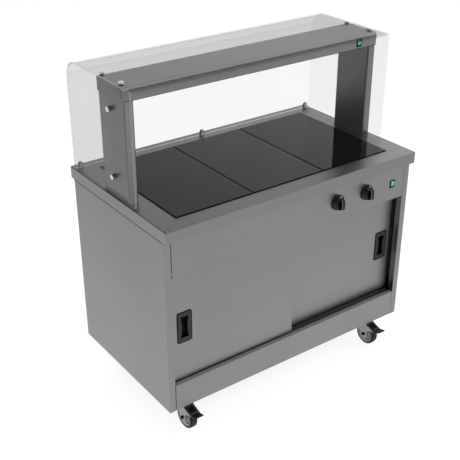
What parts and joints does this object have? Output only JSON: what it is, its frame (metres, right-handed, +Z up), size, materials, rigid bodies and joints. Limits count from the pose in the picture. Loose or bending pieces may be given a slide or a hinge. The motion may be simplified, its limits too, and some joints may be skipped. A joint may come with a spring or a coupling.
{
  "type": "hot cupboard servery counter",
  "caption": "Heated serving counter on castors: glass hot top, lamp gantry under a bent glass screen, control fascia and a cupboard closed by sliding doors",
  "frame": {"origin": "middle of the footprint, on the floor", "axes": "+X runs along the counter to the right as seen from the control side, +Y points from the control side to the screen side, +Z points up"},
  "size_m": [1.173, 0.689, 1.3345],
  "materials": {
    "brushed_steel": "satin brushed stainless sheet",
    "inner_steel": "plain folded sheet",
    "ceramic_glass": "polished dark glass ceramic",
    "black_rubber": "matte seal",
    "heater_foil": "amber heater foil",
    "bright_aluminium": "bright reflector sheet",
    "quartz": "frosted quartz",
    "white_ceramic": "glazed white ceramic",
    "clear_glass": "toughened clear glass",
    "bright_chrome": "polished chrome",
    "heater_alloy": "oxidised element sheath",
    "black_plastic": "fine textured black moulding",
    "black_nylon": "matte nylon",
    "ivory_plastic": "moulded control case",
    "green_lens": "translucent green rocker",
    "zinc_steel": "bright zinc plated pressing",
    "grey_nylon": "moulded grey wheel centre",
    "tyre_rubber": "soft dark grey tread"
  },
  "bodies": {
    "counter": {"worktop": "brushed_steel", "tile_frame": "inner_steel", "hot_tiles": "ceramic_glass", "tile_seals": "black_rubber", "foil_heaters": "heater_foil", "heater_tray": "inner_steel", "left_post": "brushed_steel", "right_post": "brushed_steel", "canopy": "brushed_steel", "lamp_reflector": "bright_aluminium", "heat_lamps": "quartz", "lamp_holders": "white_ceramic", "screen_glass": "clear_glass", "end_glass": "clear_glass", "glass_studs": "bright_chrome", "screen_clamps": "bright_chrome", "left_side_panel": "brushed_steel", "right_side_panel": "brushed_steel", "back_panel": "brushed_steel", "base_pan": "inner_steel", "bottom_rail": "brushed_steel", "fascia": "brushed_steel", "cupboard_liner": "inner_steel", "base_shelf": "inner_steel", "middle_shelf": "brushed_steel", "air_heater": "heater_alloy", "top_track": "inner_steel", "bottom_track": "inner_steel", "regulators": "ivory_plastic", "switch_bodies": "black_plastic", "cable_gland": "black_plastic", "fasteners": "zinc_steel", "castor_plates": "zinc_steel", "terminal_block": "white_ceramic"},
    "left_door": {"left_door_skin": "brushed_steel", "left_door_back": "inner_steel", "left_door_handle": "black_plastic", "left_door_glides": "black_nylon"},
    "right_door": {"right_door_skin": "brushed_steel", "right_door_back": "inner_steel", "right_door_handle": "black_plastic", "right_door_glides": "black_nylon"},
    "left_control": {"left_knob": "black_plastic"},
    "right_control": {"right_knob": "black_plastic"},
    "heat_switch": {"heat_rocker": "green_lens"},
    "gantry_switch": {"gantry_rocker": "green_lens"},
    "front_left_castor": {"front_left_fork": "zinc_steel"},
    "front_left_roller": {"front_left_wheel": "grey_nylon", "front_left_tyre": "tyre_rubber"},
    "left_brake": {"left_pedal": "black_plastic"},
    "front_right_castor": {"front_right_fork": "zinc_steel"},
    "front_right_roller": {"front_right_wheel": "grey_nylon", "front_right_tyre": "tyre_rubber"},
    "right_brake": {"right_pedal": "black_plastic"},
    "rear_left_castor": {"rear_left_fork": "zinc_steel"},
    "rear_left_roller": {"rear_left_wheel": "grey_nylon", "rear_left_tyre": "tyre_rubber"},
    "rear_right_castor": {"rear_right_fork": "zinc_steel"},
    "rear_right_roller": {"rear_right_wheel": "grey_nylon", "rear_right_tyre": "tyre_rubber"}
  },
  "joints": [
    {"name": "left_door_slide", "type": "slide", "parent": "counter", "child": "left_door", "axis": [1, 0, 0], "range_m": [0, 0.535]},
    {"name": "right_door_slide", "type": "slide", "parent": "counter", "child": "right_door", "axis": [-1, 0, 0], "range_m": [0, 0.535]},
    {"name": "left_knob_turn", "type": "hinge", "parent": "counter", "child": "left_control", "pos_m": [0.197, -0.3095, 0.781], "axis": [0, 1, 0], "range_deg": [0, 270]},
    {"name": "right_knob_turn", "type": "hinge", "parent": "counter", "child": "right_control", "pos_m": [0.347, -0.3095, 0.781], "axis": [0, 1, 0], "range_deg": [0, 270]},
    {"name": "heat_rocker_tilt", "type": "hinge", "parent": "counter", "child": "heat_switch", "pos_m": [0.487, -0.3045, 0.779], "axis": [1, 0, 0], "range_deg": [-14, 0]},
    {"name": "gantry_rocker_tilt", "type": "hinge", "parent": "counter", "child": "gantry_switch", "pos_m": [0.478, -0.074, 1.295], "axis": [1, 0, 0], "range_deg": [-14, 0]},
    {"name": "front_left_swivel", "type": "hinge", "parent": "counter", "child": "front_left_castor", "pos_m": [-0.4715, -0.2225, 0.124], "axis": [0, 0, 1], "continuous": true},
    {"name": "front_left_axle", "type": "hinge", "parent": "front_left_castor", "child": "front_left_roller", "pos_m": [-0.4715, -0.2585, 0.05], "axis": [1, 0, 0], "continuous": true},
    {"name": "left_brake_press", "type": "hinge", "parent": "front_left_castor", "child": "left_brake", "pos_m": [-0.4715, -0.2525, 0.109], "axis": [1, 0, 0], "range_deg": [0, 4]},
    {"name": "front_right_swivel", "type": "hinge", "parent": "counter", "child": "front_right_castor", "pos_m": [0.4715, -0.2225, 0.124], "axis": [0, 0, 1], "continuous": true},
    {"name": "front_right_axle", "type": "hinge", "parent": "front_right_castor", "child": "front_right_roller", "pos_m": [0.4715, -0.2585, 0.05], "axis": [1, 0, 0], "continuous": true},
    {"name": "right_brake_press", "type": "hinge", "parent": "front_right_castor", "child": "right_brake", "pos_m": [0.4715, -0.2525, 0.109], "axis": [1, 0, 0], "range_deg": [0, 4]},
    {"name": "rear_left_swivel", "type": "hinge", "parent": "counter", "child": "rear_left_castor", "pos_m": [-0.4715, 0.2365, 0.124], "axis": [0, 0, 1], "continuous": true},
    {"name": "rear_left_axle", "type": "hinge", "parent": "rear_left_castor", "child": "rear_left_roller", "pos_m": [-0.4715, 0.2005, 0.05], "axis": [1, 0, 0], "continuous": true},
    {"name": "rear_right_swivel", "type": "hinge", "parent": "counter", "child": "rear_right_castor", "pos_m": [0.4715, 0.2365, 0.124], "axis": [0, 0, 1], "continuous": true},
    {"name": "rear_right_axle", "type": "hinge", "parent": "rear_right_castor", "child": "rear_right_roller", "pos_m": [0.4715, 0.2005, 0.05], "axis": [1, 0, 0], "continuous": true}
  ]
}
